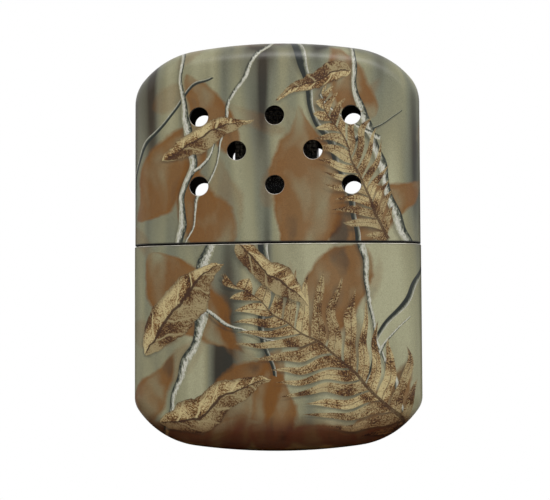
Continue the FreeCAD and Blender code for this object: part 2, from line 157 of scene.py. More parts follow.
class WarmerSettings(bpy.types.PropertyGroup):
    """Everything the sidebar shows."""

    film: PointerProperty(type=FilmSettings)
    metal: PointerProperty(type=MetalSettings)
    fibre: PointerProperty(type=FibreSettings)
    stage: PointerProperty(type=StageSettings)


# ---- Nodes ---------------------------------------------------------------------------------------------
def fill(node, *values, **named):
    """Fills a node's sockets in order, and by name with _ for a space. A socket takes a number, a
    colour, or the node or socket that is linked there."""
    sockets = [s for s in node.inputs if s.enabled]
    chosen = list(zip(sockets, values))
    for name, value in named.items():
        label = name.replace("_", " ")
        chosen.append((next(s for s in sockets if s.name == label), value))
    for socket, value in chosen:
        if isinstance(value, bpy.types.Node):
            value = next(s for s in value.outputs if s.enabled)
        if isinstance(value, bpy.types.NodeSocket):
            node.id_data.links.new(value, socket)
        elif socket.type == "RGBA":
            socket.default_value = (*list(value)[:3], 1.0)
        else:
            socket.default_value = value


def add(tree, kind, *values, stops=(), **named):
    """Adds one node. A second word in its kind is its operation or data type. Names with a capital
    are sockets, and the others are settings. Stops are the places and colours of a ramp."""
    kind, _, mode = kind.partition(" ")
    node = tree.nodes.new("ShaderNode" + kind)
    count = len(tree.nodes) - 1
    node.location = (count // 8 * 200, -(count % 8) * 200)
    if mode:
        setattr(node, "data_type" if kind == "Mix" else "operation", mode)
    for name in [name for name in named if not name[0].isupper()]:
        setattr(node, name, named.pop(name))
    fill(node, *values, **named)
    for number, (spot, tone) in enumerate(stops):
        ramp = node.color_ramp.elements
        stop = ramp[number] if number < 2 else ramp.new(spot)
        stop.position, stop.color = spot, (*tone, 1.0)
    return node


def new_group(name, inputs, outputs):
    """A node group with named inputs and outputs; returns it with its input and output nodes."""
    tree = bpy.data.node_groups.new(name, "ShaderNodeTree")
    for direction, labels in (("INPUT", inputs), ("OUTPUT", outputs)):
        for label in labels:
            kind = "NodeSocketVector" if label in ("Film", "Place") else "NodeSocketFloat"
            tree.interface.new_socket(name=label, in_out=direction, socket_type=kind)
    return tree, tree.nodes.new("NodeGroupInput"), tree.nodes.new("NodeGroupOutput")


def new_material(name):
    """An empty material; returns it with its tree and its output node."""
    material = bpy.data.materials.new(name)
    material.use_nodes = True
    material.node_tree.nodes.clear()
    output = material.node_tree.nodes.new("ShaderNodeOutputMaterial")
    return material, material.node_tree, output


# ---- Pieces ------------------------------------------------------------------------------------------
def dress_node(name, material):
    """Gives a node of the frame its material."""
    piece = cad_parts[name]
    piece.data.materials.clear()
    piece.data.materials.append(material)


def finish_piece(name, mesh, body, slot, *nodes):
    """Puts a finished mesh in the scene: it rides on a body and stands for nodes of the frame."""
    piece = bpy.data.objects.new(name, mesh)
    mesh.name = name
    bpy.context.scene.collection.objects.link(piece)
    mesh.materials.clear()
    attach(piece, body)
    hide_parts(*nodes)
    return piece


# ---- Film print ------------------------------------------------------------------------------------------
RIM_RADIUS = 4.6            # rounding of the case's rim, in mm, that the film wraps round
BACK_SHIFT = 240.0          # the back reads the film this far along, in mm
VEIN_PITCH = 2.2            # spacing of a leaf's side veins, in mm
FOOT_SHADE = (8.6, 4.0)     # heights in mm where the foot starts to darken and is darkest
VENT_COLUMNS = 22.0         # half the width of the vents' field, in mm
VENT_ROWS = (71.45, 12.0)   # its middle height and half its height, in mm
LIP = 0.35                  # half the height of the lip's worn band, in mm
LITTER_STRENGTH = 0.36      # of the leaves that are strewn behind the rest
SHADOW_STRENGTH = 0.58

# How far outlines wander off true: the noise's scale and detail, and its reach in mm. Stems and
# fronds follow only the first, slow one.
WANDER = ((0.07, 1.0, 8.0), (0.5, 2.0, 1.3))
# Strewn leaves: shift of the film in mm, size of a cell in mm, turn in degrees, length, half width.
STREWN = (((3.0, 8.0, 0.0), 21.0, 70.0, 17.0, 3.0), ((17.0, 31.0, 0.0), 27.0, 110.0, 22.0, 3.8))


def film_wrap_group():
    """Where a point of the case lies on its film, in mm: across, up and, on the back, further along.

    The film lies flat on the bowed faces. Round the rim it keeps its length, so a point there is
    moved outwards by the arc's length less the arc's reach. Front and back films meet in a torn
    line along the sides."""
    tree, _, result = new_group("Film wrap", (), ("Film", "Place"))
    coordinate = add(tree, "TexCoord")
    place = add(tree, "VectorMath SCALE", coordinate.outputs["Object"], 1 / MM)
    place_axes = add(tree, "SeparateXYZ", place)
    normal_axes = add(tree, "SeparateXYZ", coordinate.outputs["Normal"])
    outward = add(tree, "CombineXYZ", X=normal_axes.outputs["X"], Y=normal_axes.outputs["Z"])
    reach = add(tree, "VectorMath LENGTH", outward)
    reach = add(tree, "Math MINIMUM", reach, 1.0)
    turned = add(tree, "Math ARCSINE", reach)
    spare = add(tree, "Math SUBTRACT", turned, reach)
    spare = add(tree, "Math MULTIPLY", spare, RIM_RADIUS)
    direction = add(tree, "VectorMath NORMALIZE", outward)
    moved = add(tree, "VectorMath SCALE", direction, spare)
    flat = add(tree, "CombineXYZ", X=place_axes.outputs["X"], Y=place_axes.outputs["Z"])
    front = add(tree, "VectorMath ADD", flat, moved)
    back = add(tree, "VectorMath MULTIPLY_ADD", front, (-1.0, 1.0, 1.0), (BACK_SHIFT, 0.0, 0.0))
    # The torn line wanders about 1 mm either way along the middle of the sides.
    tear = add(tree, "TexNoise", Vector=place, Scale=0.35, Detail=3.0)
    tear = add(tree, "Math MULTIPLY_ADD", tear, 4.0, -2.0)
    side = add(tree, "Math ADD", place_axes.outputs["Y"], tear)
    side = add(tree, "Math GREATER_THAN", side, 0.0)
    film = add(tree, "Mix VECTOR", side, front, back)
    fill(result, Film=film, Place=place)
    return tree


def laid_along(tree, get):
    """Millimetres along and beside a thing's bent middle line, and the share of its length."""
    right = add(tree, "Math SUBTRACT", get["X"], get["Foot X"])
    above = add(tree, "Math SUBTRACT", get["Y"], get["Foot Y"])
    cosine = add(tree, "Math COSINE", get["Turn"])
    sine = add(tree, "Math SINE", get["Turn"])
    run = add(tree, "Math MULTIPLY", right, cosine)
    run = add(tree, "Math MULTIPLY_ADD", above, sine, run)
    beside = add(tree, "Math MULTIPLY", right, sine)
    aside = add(tree, "Math MULTIPLY", above, cosine)
    aside = add(tree, "Math SUBTRACT", aside, beside)
    share = add(tree, "Math DIVIDE", run, get["Length"])
    bow = add(tree, "Math MULTIPLY", share, share)
    bow = add(tree, "Math MULTIPLY", bow, get["Bend"])
    return run, add(tree, "Math SUBTRACT", aside, bow), share


# The point that is coloured, and where the thing lies whose mask is wanted.
PLACING = ("X", "Y", "Foot X", "Foot Y", "Turn", "Length", "Half Width", "Bend")


def blade_group():
    """One leaf or stem on the film: a mask, how far across it a point lies, and side veins."""
    tree, source, result = new_group("Blade", (*PLACING, "Belly", "Softness"), ("Mask", "Across", "Vein"))
    get = source.outputs
    run, offset, share = laid_along(tree, get)
    # A leaf swells to its full width at two fifths of its length; a stem only tapers.
    early = add(tree, "Math MAXIMUM", share, 0.0001)
    early = add(tree, "Math POWER", early, 0.75)
    late = add(tree, "Math SUBTRACT", 1.0, early)
    swell = add(tree, "Math MULTIPLY", early, late)
    swell = add(tree, "Math MULTIPLY", swell, 4.0, use_clamp=True)
    taper = add(tree, "Math MULTIPLY_ADD", share, -0.55, 1.0)
    outline = add(tree, "Mix FLOAT", get["Belly"], taper, swell)
    half = add(tree, "Math MULTIPLY", outline, get["Half Width"])
    half = add(tree, "Math MAXIMUM", half, 0.02)
    distance = add(tree, "Math ABSOLUTE", offset)
    within = add(tree, "Math SUBTRACT", half, distance)
    within = add(tree, "Math DIVIDE", within, get["Softness"], use_clamp=True)
    rest = add(tree, "Math SUBTRACT", 1.0, share)
    ends = add(tree, "Math MINIMUM", share, rest)
    ends = add(tree, "Math MULTIPLY", ends, get["Length"])
    ends = add(tree, "Math DIVIDE", ends, get["Softness"], use_clamp=True)
    mask = add(tree, "Math MULTIPLY", within, ends)
    across = add(tree, "Math DIVIDE", offset, half)
    # Side veins leave the midrib at a slant; Vein is 1 on them.
    vein = add(tree, "Math MULTIPLY_ADD", distance, -1.1, run)
    vein = add(tree, "Math MULTIPLY", vein, 1 / VEIN_PITCH)
    vein = add(tree, "Math PINGPONG", vein, 1.0)
    vein = add(tree, "MapRange", vein, 0.20, 0.04)
    fill(result, Mask=mask, Across=across, Vein=vein)
    return tree


def scatter_group(blade):
    """Leaves strewn over the film, one to a cell, with the mask and the place across of Blade."""
    tree, source, result = new_group(
        "Strewn leaves", ("Film", "Cell", "Turn", "Spread", "Length", "Half Width", "Softness"),
        ("Mask", "Across"))
    get = source.outputs
    scale = add(tree, "Math DIVIDE", 1.0, get["Cell"])
    cells = add(tree, "TexVoronoi", Vector=get["Film"], Scale=scale, Randomness=0.45,
                voronoi_dimensions="2D")
    dice = add(tree, "SeparateXYZ", cells.outputs["Color"])
    away = add(tree, "VectorMath SUBTRACT", get["Film"], cells.outputs["Position"])
    away = add(tree, "SeparateXYZ", away)
    turn = add(tree, "Math SUBTRACT", dice.outputs["X"], 0.5)
    turn = add(tree, "Math MULTIPLY_ADD", turn, get["Spread"], get["Turn"])
    # The foot lies half a length back from the cell's middle.
    back = add(tree, "Math MULTIPLY", get["Length"], -0.5)
    cosine = add(tree, "Math COSINE", turn)
    sine = add(tree, "Math SINE", turn)
    foot_x = add(tree, "Math MULTIPLY", back, cosine)
    foot_y = add(tree, "Math MULTIPLY", back, sine)
    size = add(tree, "Math MULTIPLY_ADD", dice.outputs["Y"], 0.6, 0.6)
    half = add(tree, "Math MULTIPLY", size, get["Half Width"])
    bend = add(tree, "Math MULTIPLY_ADD", dice.outputs["Z"], 5.0, -2.5)
    leaf = add(tree, "Group", node_tree=blade, Foot_X=foot_x, Foot_Y=foot_y, Turn=turn, Half_Width=half,
               X=away.outputs["X"], Y=away.outputs["Y"], Bend=bend, Belly=1.0,
               Length=get["Length"], Softness=get["Softness"]).outputs
    fill(result, Mask=leaf["Mask"], Across=leaf["Across"])
    return tree


def frond_group():
    """A fern frond on the film: leaflets swept off both sides of a bent stem."""
    tree, source, result = new_group("Frond", (*PLACING, "Pitch", "Softness"), ("Mask", "Rib", "Tone"))
    get = source.outputs
    run, offset, share = laid_along(tree, get)
    distance = add(tree, "Math ABSOLUTE", offset)
    side = add(tree, "Math SIGN", offset)
    # Each leaflet leaves the stem at a slant; count them by where their line meets the stem.
    root = add(tree, "Math MULTIPLY_ADD", distance, -0.75, run)
    number = add(tree, "Math DIVIDE", root, get["Pitch"])
    number = add(tree, "Math MULTIPLY_ADD", side, 0.25, number)
    index = add(tree, "Math FLOOR", number)
    within = add(tree, "Math FRACT", number)
    within = add(tree, "Math SUBTRACT", within, 0.5)
    within = add(tree, "Math ABSOLUTE", within)
    seed = add(tree, "Math MULTIPLY_ADD", side, 0.37, index)
    dice = add(tree, "TexWhiteNoise", W=seed, noise_dimensions="1D")
    # The leaflets' reach swells near the foot of the frond and falls away to its tip.
    middle = add(tree, "Math ADD", index, 0.5)
    middle = add(tree, "Math MULTIPLY", middle, get["Pitch"])
    middle = add(tree, "Math DIVIDE", middle, get["Length"], use_clamp=True)
    early = add(tree, "Math POWER", middle, 0.6)
    late = add(tree, "Math SUBTRACT", 1.0, early)
    swell = add(tree, "Math MULTIPLY", early, late)
    uneven = add(tree, "Math MULTIPLY_ADD", dice, 1.0, 3.2)
    swell = add(tree, "Math MULTIPLY", swell, uneven)
    reach = add(tree, "Math MULTIPLY", swell, get["Half Width"])
    reach = add(tree, "Math MAXIMUM", reach, 0.05)
    out = add(tree, "Math DIVIDE", distance, reach)
    outline = add(tree, "Math MULTIPLY", out, out)
    outline = add(tree, "Math MULTIPLY_ADD", outline, -0.46, 0.46)
    leaflet = add(tree, "Math SUBTRACT", outline, within)
    leaflet = add(tree, "Math MULTIPLY", leaflet, get["Pitch"])
    leaflet = add(tree, "Math DIVIDE", leaflet, get["Softness"], use_clamp=True)
    rest = add(tree, "Math SUBTRACT", 1.0, share)
    ends = add(tree, "Math MINIMUM", share, rest)
    ends = add(tree, "Math MULTIPLY", ends, 60.0, use_clamp=True)
    stem = add(tree, "Math MULTIPLY_ADD", rest, 0.45, 0.12)
    stem = add(tree, "Math SUBTRACT", stem, distance)
    stem = add(tree, "Math MULTIPLY", stem, 8.0, use_clamp=True)
    rib = add(tree, "Math MULTIPLY_ADD", within, -22.0, 1.0, use_clamp=True)
    rib = add(tree, "Math MAXIMUM", rib, stem)
    mask = add(tree, "Math MAXIMUM", leaflet, stem)
    mask = add(tree, "Math MULTIPLY", mask, ends)
    fill(result, Mask=mask, Rib=rib, Tone=dice)
    return tree


# What lies on each film, bottom layer first: kind, foot across and up (mm), turn (degrees), length,
# half width and bend (mm). Across is x on the front, and BACK_SHIFT less x on the back.
LID_PRINT = (
    ("fallen", -34, 56, 48, 31, 6.5, 3.0),
    ("fallen", -9, 70, 122, 24, 5.5, -2.0),
    ("fallen", 7, 46, 84, 36, 9.0, 4.0),
    ("fallen", 13, 49, 38, 30, 6.5, -3.0),
    ("fallen", 24, 78, 118, 22, 5.0, 2.0),
    ("fallen", -12, 45, 108, 26, 6.0, 3.0),
    ("twig", -40, 58.5, 62, 40, 0.9, -8.0),
    ("twig", 2.5, 103, 292, 62, 1.15, -5.0),
    ("twig", 14.6, 72, 12, 17, 0.5, 4.0),
    ("stem", -22, 46, 84, 58, 1.15, 7.0),
    ("stem", -20.3, 66, 42, 14, 0.5, 3.0),
    ("stem", 0.5, 103, 242, 57, 0.6, 7.0),
    ("stem", 32, 46, 109, 56, 1.3, -4.0),
    ("stem", 25.6, 73, 152, 17, 0.55, -4.0),
    ("dry", -26, 69, 33, 24, 3.0, -4.0),
    ("dry", 19, 90, 186, 19, 2.4, 3.0),
    ("frond", 27, 49, 119, 40, 10.0, -6.0),
    ("fallen", 220, 60, 60, 34, 8.0, 3.0),
    ("fallen", 250, 96, -70, 34, 8.0, -3.0),
    ("stem", 262, 46, 98, 58, 1.2, 6.0),
    ("stem", 232, 46, 86, 56, 0.7, -7.0),
    ("dry", 246, 70, 140, 25, 3.4, 3.0),
    ("frond", 212, 50, 60, 46, 11.0, 6.0),
)
TANK_PRINT = (
    ("fallen", -30, 47, -52, 34, 7.5, 3.0),
    ("fallen", -16, -4, 66, 34, 8.0, -4.0),
    ("fallen", 1, -4, 96, 27, 6.5, 2.0),
    ("fallen", 20, 50, -112, 32, 7.5, -3.0),
    ("fallen", 22, -4, 68, 26, 6.0, 2.0),
    ("fallen", -36, 3, 62, 24, 5.0, -2.0),
    ("fallen", -36, 3, 2, 34, 3.6, 2.0),
    ("fallen", 2, 2, 4, 36, 3.4, 1.0),
    ("twig", 40.3, 47.7, 228, 39, 1.0, 7.0),
    ("twig", -2, 52, 262, 34, 1.2, 5.0),
    ("stem", -14, 52, 261, 54, 1.35, -6.0),
    ("stem", -17.3, 34, -36, 22, 0.6, 6.0),
    ("stem", 20, 52, 276, 54, 0.85, 8.0),
    ("stem", 24.2, 22, 40, 13, 0.45, 3.0),
    ("frond", 33, 3, 131, 58, 17.0, 9.0),
    ("dry", -31, 24, 53, 28, 4.6, -4.0),
    ("dry", -28, 6, 17, 28, 4.2, 3.0),
    ("dry", -9, 51, -52, 25, 3.6, 3.0),
    ("fallen", 215, 4, 50, 36, 8.0, 3.0),
    ("fallen", 262, 46, -120, 34, 8.0, -3.0),
    ("stem", 228, -2, 96, 54, 1.2, 6.0),
    ("frond", 266, 4, 128, 50, 14.0, -7.0),
    ("dry", 214, 30, 30, 27, 4.4, -4.0),
    ("dry", 236, 12, -8, 26, 4.0, 3.0),
)
SOFTNESS = {"fallen": 1.0, "dry": 0.14, "stem": 0.14, "twig": 0.14, "frond": 0.25}    # of outlines, mm
SHADOW = (-0.7, -0.9)       # where the shadows of crisp things fall, in mm


def dressed_kinds(tree, film, settings):
    """How each kind of thing on the film is coloured, as a function of its group node.

    Textures are read once for all of them, and after that only numbers and colours are worked with:
    a renderer holds few values at a time, and vectors between them would be kept for every leaf."""
    fleck = add(tree, "TexNoise", Vector=film, Scale=1 / settings.fleck_size, Detail=3.0, Roughness=0.75)
    blotch = add(tree, "TexNoise", Vector=film, Scale=0.22, Detail=3.0)
    drawn = add(tree, "VectorMath MULTIPLY", film, (0.16, 0.07, 1.0))
    streaks = add(tree, "TexNoise", Vector=drawn, Scale=1.0, Detail=2.0, Roughness=0.4)
    drawn = add(tree, "VectorMath MULTIPLY", film, (3.2, 0.8, 1.0))
    bark = add(tree, "TexNoise", Vector=drawn, Scale=1.0, Detail=3.0, Roughness=0.65)
    # Dry leaves are straw, with rust flecks that crowd together in blotches.
    crowd = add(tree, "Math MULTIPLY_ADD", blotch, 0.75, fleck)
    straw = add(tree, "ValToRGB", crowd, stops=(
        (0.79, settings.straw), (0.94, settings.rust), (1.0, settings.rust_dark)))
    # Fallen leaves are rust, darker in streaks, and in places the ground shows through them.
    inner = add(tree, "ValToRGB", streaks, stops=(
        (0.28, settings.rust_dark), (0.42, settings.rust), (0.48, settings.rust),
        (0.74, settings.haze_khaki)))

    def fallen(shape):
        """Soft and rust brown, most so at its edges."""
        edge = add(tree, "Math ABSOLUTE", shape.outputs["Across"])
        edge = add(tree, "MapRange", edge, 0.50, 0.95)
        colour = add(tree, "Mix RGBA", edge, inner, settings.rust)
        factor = add(tree, "MapRange", edge, To_Min=0.84, To_Max=0.95)
        factor = add(tree, "Math MULTIPLY", shape.outputs["Mask"], factor)
        return factor, colour

    def dry(shape):
        """Crisp and straw coloured: a lit half and a shaded half, a dark midrib and pale side veins."""
        across = shape.outputs["Across"]
        distance = add(tree, "Math ABSOLUTE", across)
        colour = add(tree, "Mix RGBA", shape.outputs["Vein"], straw, settings.straw)
        shade = add(tree, "MapRange", across, 0.08, -0.08, To_Max=0.42)
        rib = add(tree, "MapRange", distance, 0.12, 0.05, To_Max=0.95)
        margin = add(tree, "MapRange", distance, 0.70, 1.0, To_Max=0.75)
        dark = add(tree, "Math MAXIMUM", rib, margin)
        dark = add(tree, "Math MAXIMUM", dark, shade)
        colour = add(tree, "Mix RGBA", dark, colour, settings.rust_dark)
        return shape.outputs["Mask"], colour

    def stem(shape, lit=2.6):
        """Bark: dark along one edge, pale where it is lit, with streaks along it."""
        shade = add(tree, "Math MULTIPLY_ADD", bark, lit, shape.outputs["Across"])
        shade = add(tree, "MapRange", shade, 0.3, 2.3)
        colour = add(tree, "ValToRGB", shade, stops=(
            (0.14, settings.stem_dark), (0.32, settings.haze_sage), (0.60, settings.stem_pale),
            (0.95, settings.haze_khaki)))
        return shape.outputs["Mask"], colour

    def twig(shape):
        """A stem in shade: only a broken line along its lit edge is pale."""
        return stem(shape, 1.0)

    def frond(shape):
        """Straw coloured like the dry leaves; leaflets differ in tone and have a dark rib."""
        tone = add(tree, "Math MULTIPLY", shape.outputs["Tone"], 0.32)
        rib = add(tree, "Math MULTIPLY", shape.outputs["Rib"], 0.8)
        dark = add(tree, "Math MAXIMUM", tone, rib)
        colour = add(tree, "Mix RGBA", dark, straw, settings.rust_dark)
        return shape.outputs["Mask"], colour

    return {"fallen": fallen, "dry": dry, "stem": stem, "twig": twig, "frond": frond}


def camouflage(tree, wrap, layers, groups, settings):
    """The print's colour at a point of the film."""
    place, film = wrap.outputs["Place"], wrap.outputs["Film"]
    wander = []
    for scale, detail, reach in WANDER:
        warp = add(tree, "TexNoise", Vector=place, Scale=scale, Detail=detail)
        warp = add(tree, "VectorMath SUBTRACT", warp.outputs["Color"], (0.5, 0.5, 0.5))
        film = add(tree, "VectorMath MULTIPLY_ADD", warp, (reach, reach, 0.0), film)
        wander.append(film)
    smooth_film, leaf_film = wander

    # Ground: soft upright bands of sage, khaki and grey, like woodland out of focus.
    tall = add(tree, "VectorMath MULTIPLY", place, (1 / settings.band_width,) * 2 + (0.012,))
    bands = add(tree, "TexNoise", Vector=tall, Scale=1.0, Detail=2.0, Roughness=0.45, Distortion=0.15)
    colour = add(tree, "ValToRGB", bands, stops=(
        (0.35, settings.haze_dark), (0.44, settings.haze_sage),
        (0.53, settings.haze_khaki), (0.64, settings.haze_pale)))
    warm = add(tree, "TexNoise", Vector=place, Scale=0.05, Detail=1.0)
    warm = add(tree, "MapRange", warm, 0.4, 0.65, To_Max=0.08)
    colour = add(tree, "Mix RGBA", warm, colour, settings.rust)

    dress = dressed_kinds(tree, leaf_film, settings)
    # Soft fallen leaves are strewn behind everything that is listed one by one.
    for shift, cell, turn, length, half in STREWN:
        shifted = add(tree, "VectorMath ADD", leaf_film, shift)
        strewn = add(tree, "Group", Film=shifted, Cell=cell, Turn=math.radians(turn), Spread=2.4,
                     Length=length, Half_Width=half, Softness=1.2, node_tree=groups["scatter"])
        mask, leaf = dress["fallen"](strewn)
        faint = add(tree, "Math MULTIPLY", mask, LITTER_STRENGTH)
        colour = add(tree, "Mix RGBA", faint, colour, leaf)
    edges = {"fallen": leaf_film, "dry": leaf_film, "stem": smooth_film, "twig": smooth_film,
             "frond": smooth_film}
    axes = {film: add(tree, "SeparateXYZ", film).outputs for film in wander}
    for kind, across, up, turn, length, half, bend in layers:
        x, y = axes[edges[kind]]["X"], axes[edges[kind]]["Y"]
        inputs = {"X": x, "Y": y, "Foot X": across, "Foot Y": up, "Turn": math.radians(turn),
                  "Length": length, "Half Width": half, "Bend": bend, "Softness": SOFTNESS[kind]}
        if kind == "frond":
            group = groups["frond"]
            inputs["Pitch"] = 0.15 * half + 1.6
        else:
            group = groups["blade"]
            inputs["Belly"] = 0.0 if kind in ("stem", "twig") else 1.0
        if kind != "fallen":
            below = {**inputs, "Foot X": across + SHADOW[0], "Foot Y": up + SHADOW[1],
                     "Softness": min(1.2, half)}
            shadow = add(tree, "Group", node_tree=group, **below).outputs["Mask"]
            shadow = add(tree, "Math MULTIPLY", shadow, SHADOW_STRENGTH)
            colour = add(tree, "Mix RGBA", shadow, colour, settings.haze_dark)
        mask, dressed = dress[kind](add(tree, "Group", node_tree=group, **inputs))
        colour = add(tree, "Mix RGBA", mask, colour, dressed)
    # The film darkens towards the foot of the case: a printed leaf-litter tone, and painted shade under its
    # lower rounding.
    foot = add(tree, "MapRange", axes[leaf_film]["Y"], *FOOT_SHADE, To_Max=0.95)
    return add(tree, "Mix RGBA", foot, colour, settings.litter_and_shade, blend_type="MULTIPLY")


def bare_edges(tree, place, place_axes, normal_axes):
    """Where the film is missing: on the vents' edges and, in places, on the rolled lip at the seam."""
    # In the vents' field, only the vents' edges turn away from the faces.
    square_on = add(tree, "Math ABSOLUTE", normal_axes.outputs["Y"])
    turned = add(tree, "MapRange", square_on, 0.95, 0.80)
    x_size = add(tree, "Math ABSOLUTE", place_axes.outputs["X"])
    in_columns = add(tree, "Math LESS_THAN", x_size, VENT_COLUMNS)
    in_rows = add(tree, "Math COMPARE", place_axes.outputs["Z"], *VENT_ROWS)
    vent = add(tree, "Math MULTIPLY", in_columns, in_rows)
    vent = add(tree, "Math MULTIPLY", vent, turned)
    worn = add(tree, "TexNoise", Vector=place, Scale=0.5, Detail=4.0)
    worn = add(tree, "MapRange", worn, 0.42, 0.56, 0.25, 0.6)
    lip = add(tree, "Math COMPARE", place_axes.outputs["Z"], SEAM, LIP)
    lip = add(tree, "Math MULTIPLY", lip, worn)
    return add(tree, "Math MAXIMUM", vent, lip)


def printed_steel(name, layers, heart, groups, film_settings, metal):
    """Matt film-printed steel: a satin lacquer over a camouflage print, with fine grain from the
    print and the steel. It gives no sharp reflection, only a soft band of light along the rim.
    Inside, the drawn steel is bare and dark from heat; on punched and worn edges it is bright."""
    material, tree, output = new_material(name)
    wrap = add(tree, "Group", node_tree=groups["wrap"])
    place = wrap.outputs["Place"]
    colour = camouflage(tree, wrap, layers, groups, film_settings)
    # The print's grain, about 0.2 mm across.
    grain = add(tree, "TexNoise", Vector=place, Scale=4.5, Detail=2.0, Roughness=0.7)
    grain = add(tree, "Math MULTIPLY_ADD", grain, 0.9, 0.56)
    printed = add(tree, "VectorMath SCALE", colour, grain)

    # Inside, a point's normal turns towards the cup's middle, and outside away from it.
    coordinate = add(tree, "TexCoord")
    from_heart = add(tree, "VectorMath SUBTRACT", place, (0.0, 0.0, heart))
    facing = add(tree, "VectorMath DOT_PRODUCT", from_heart, coordinate.outputs["Normal"])
    inside = add(tree, "Math LESS_THAN", facing, 0.0)
    normal_axes = add(tree, "SeparateXYZ", coordinate.outputs["Normal"])
    place_axes = add(tree, "SeparateXYZ", place)
    height = place_axes.outputs["Z"]
    edge = bare_edges(tree, place, place_axes, normal_axes)
    # Painted shade: the vents' upper edges, which face down, are darkened, and so is the lid's lower edge
    # just above the seam.
    downward_shade = add(tree, "MapRange", normal_axes.outputs["Z"], 0.35, -0.10)
    bare = add(tree, "Mix RGBA", downward_shade, metal.bare, metal.painted_shade)
    seam_shade = add(tree, "Math MULTIPLY_ADD", height, -2.2, 2.2 * SEAM_SHADE[1], use_clamp=True)
    seam_shade = add(tree, "Math POWER", seam_shade, 2.0)
    above_seam = add(tree, "Math GREATER_THAN", height, SEAM + 0.15)
    seam_shade = add(tree, "Math MULTIPLY", seam_shade, above_seam)

    colour = add(tree, "Mix RGBA", inside, printed, metal.oxide)
    colour = add(tree, "Mix RGBA", edge, colour, bare)
    colour = add(tree, "Mix RGBA", seam_shade, colour, metal.painted_shade)
    metallic = add(tree, "Math MAXIMUM", inside, edge)
    metallic = add(tree, "Math MULTIPLY", metallic, 0.85)
    roughness = add(tree, "MapRange", grain, 0.9, 1.1, 0.36, 0.46)
    roughness = add(tree, "Mix FLOAT", edge, roughness, 0.34)
    bump = add(tree, "Bump", Strength=0.25, Distance=0.02 * MM, Height=grain)
    shader = add(tree, "BsdfPrincipled", Base_Color=colour, Metallic=metallic, Roughness=roughness,
                 Normal=bump)
    fill(output, Surface=shader)
    return material


# Each cup's node, its material, its print, and the height of a point amid it in mm.
CUPS = (("lid_shell", "Film-printed steel, lid", LID_PRINT, 73.0),
        ("tank_shell", "Film-printed steel, tank", TANK_PRINT, 25.0))


class HANDWARMER_OT_printed_case(bpy.types.Operator):
    """Finish the lid and the tank shell with their camouflage films"""

    bl_idname = "handwarmer.printed_case"
    bl_label = "Print the Case"
    bl_options = {"REGISTER", "UNDO"}

    def execute(self, context):
        settings = context.scene.hand_warmer
        blade = blade_group()
        groups = {"wrap": film_wrap_group(), "blade": blade, "scatter": scatter_group(blade),
                  "frond": frond_group()}
        for node, name, layers, heart in CUPS:
            dress_node(node, printed_steel(name, layers, heart, groups, settings.film, settings.metal))
        return {"FINISHED"}


# ---- Plated and plain metal -----------------------------------------------------------------------------
HEAT_TINT = (64.0, 74.0)    # heights in mm where the steel starts to colour and is fully tinted
HEAT_COLOURS = ((0.20, "#ffffff"), (0.38, "#e8cf9a"), (0.54, "#b98962"), (0.66, "#77698f"),
                (0.80, "#6d7f93"), (0.98, "#a39d92"))    # straw, brown, violet, blue, grey


def plated_steel(name, colour, painted_shade, roughness, grain_mm, tint=0.0):
    """Plated or plain pressed steel. Rolling and drawing leave fine lines that spread a reflection
    along them, handling leaves dull patches, and heat leaves a straw to blue tint near the catalyst."""
    material, tree, output = new_material(name)
    coordinate = add(tree, "TexCoord")
    place = add(tree, "VectorMath SCALE", coordinate.outputs["Object"], 1 / MM)
    drawn = add(tree, "VectorMath MULTIPLY", place, (1 / grain_mm, 1 / grain_mm, 0.06))
    lines = add(tree, "TexNoise", Vector=drawn, Scale=1.0, Detail=2.0)
    patches = add(tree, "TexNoise", Vector=place, Scale=0.22, Detail=4.0, Roughness=0.6)
    dull = add(tree, "MapRange", patches, 0.4, 0.7, roughness * 0.8, roughness * 1.6)
    rough = add(tree, "Math MULTIPLY_ADD", lines, roughness * 0.4, dull)
    axes = add(tree, "SeparateXYZ", place)
    heat = add(tree, "Math MULTIPLY_ADD", patches, 6.0, axes.outputs["Z"])
    heat = add(tree, "MapRange", heat, *HEAT_TINT)
    oxide = add(tree, "ValToRGB", heat, stops=[(spot, srgb(code)) for spot, code in HEAT_COLOURS])
    tinted = add(tree, "Mix RGBA", tint, colour, oxide, blend_type="MULTIPLY")
    smudge = add(tree, "MapRange", patches, 0.35, 0.7, 1.0, 0.82)
    base = add(tree, "VectorMath SCALE", tinted, smudge)
    # Painted shade: the steel darkens below the seam, where the collar lies in the gap.
    unshaded = add(tree, "MapRange", axes.outputs["Z"], *SEAM_SHADE)
    base = add(tree, "Mix RGBA", unshaded, painted_shade, base)
    rough = add(tree, "Mix FLOAT", unshaded, 0.9, rough)
    shader = add(tree, "BsdfPrincipled", Base_Color=base, Metallic=1.0, Roughness=rough)
    fill(output, Surface=shader)
    return material


class HANDWARMER_OT_tank_fittings(bpy.types.Operator):
    """Finish the tank cover and the filler neck in dull nickel plate"""

    bl_idname = "handwarmer.tank_fittings"
    bl_label = "Plate the Tank Fittings"
    bl_options = {"REGISTER", "UNDO"}

    def execute(self, context):
        metal = context.scene.hand_warmer.metal
        material = plated_steel("Drawn nickel plate", metal.nickel, metal.painted_shade, roughness=0.26,
                                grain_mm=0.30)
        for node in ("tank_cover", "filler_neck"):
            dress_node(node, material)
        return {"FINISHED"}


class HANDWARMER_OT_burner_frame(bpy.types.Operator):
    """Finish the burner's base, bezel, grid, rivets and cage ends"""

    bl_idname = "handwarmer.burner_frame"
    bl_label = "Plate the Burner"
    bl_options = {"REGISTER", "UNDO"}

    def execute(self, context):
        metal = context.scene.hand_warmer.metal
        chrome = plated_steel("Bright chrome plate", metal.chrome, metal.painted_shade, roughness=0.10,
                              grain_mm=0.45, tint=0.5)
        steel = plated_steel("Pressed stainless steel", metal.steel, metal.painted_shade, roughness=0.28,
                             grain_mm=0.25, tint=0.9)
        for node in ("burner_base", "burner_bezel"):
            dress_node(node, chrome)
        for node in ("catalyst_grid", "bezel_rivets", "cage_end_left", "cage_end_right"):
            dress_node(node, steel)
        return {"FINISHED"}


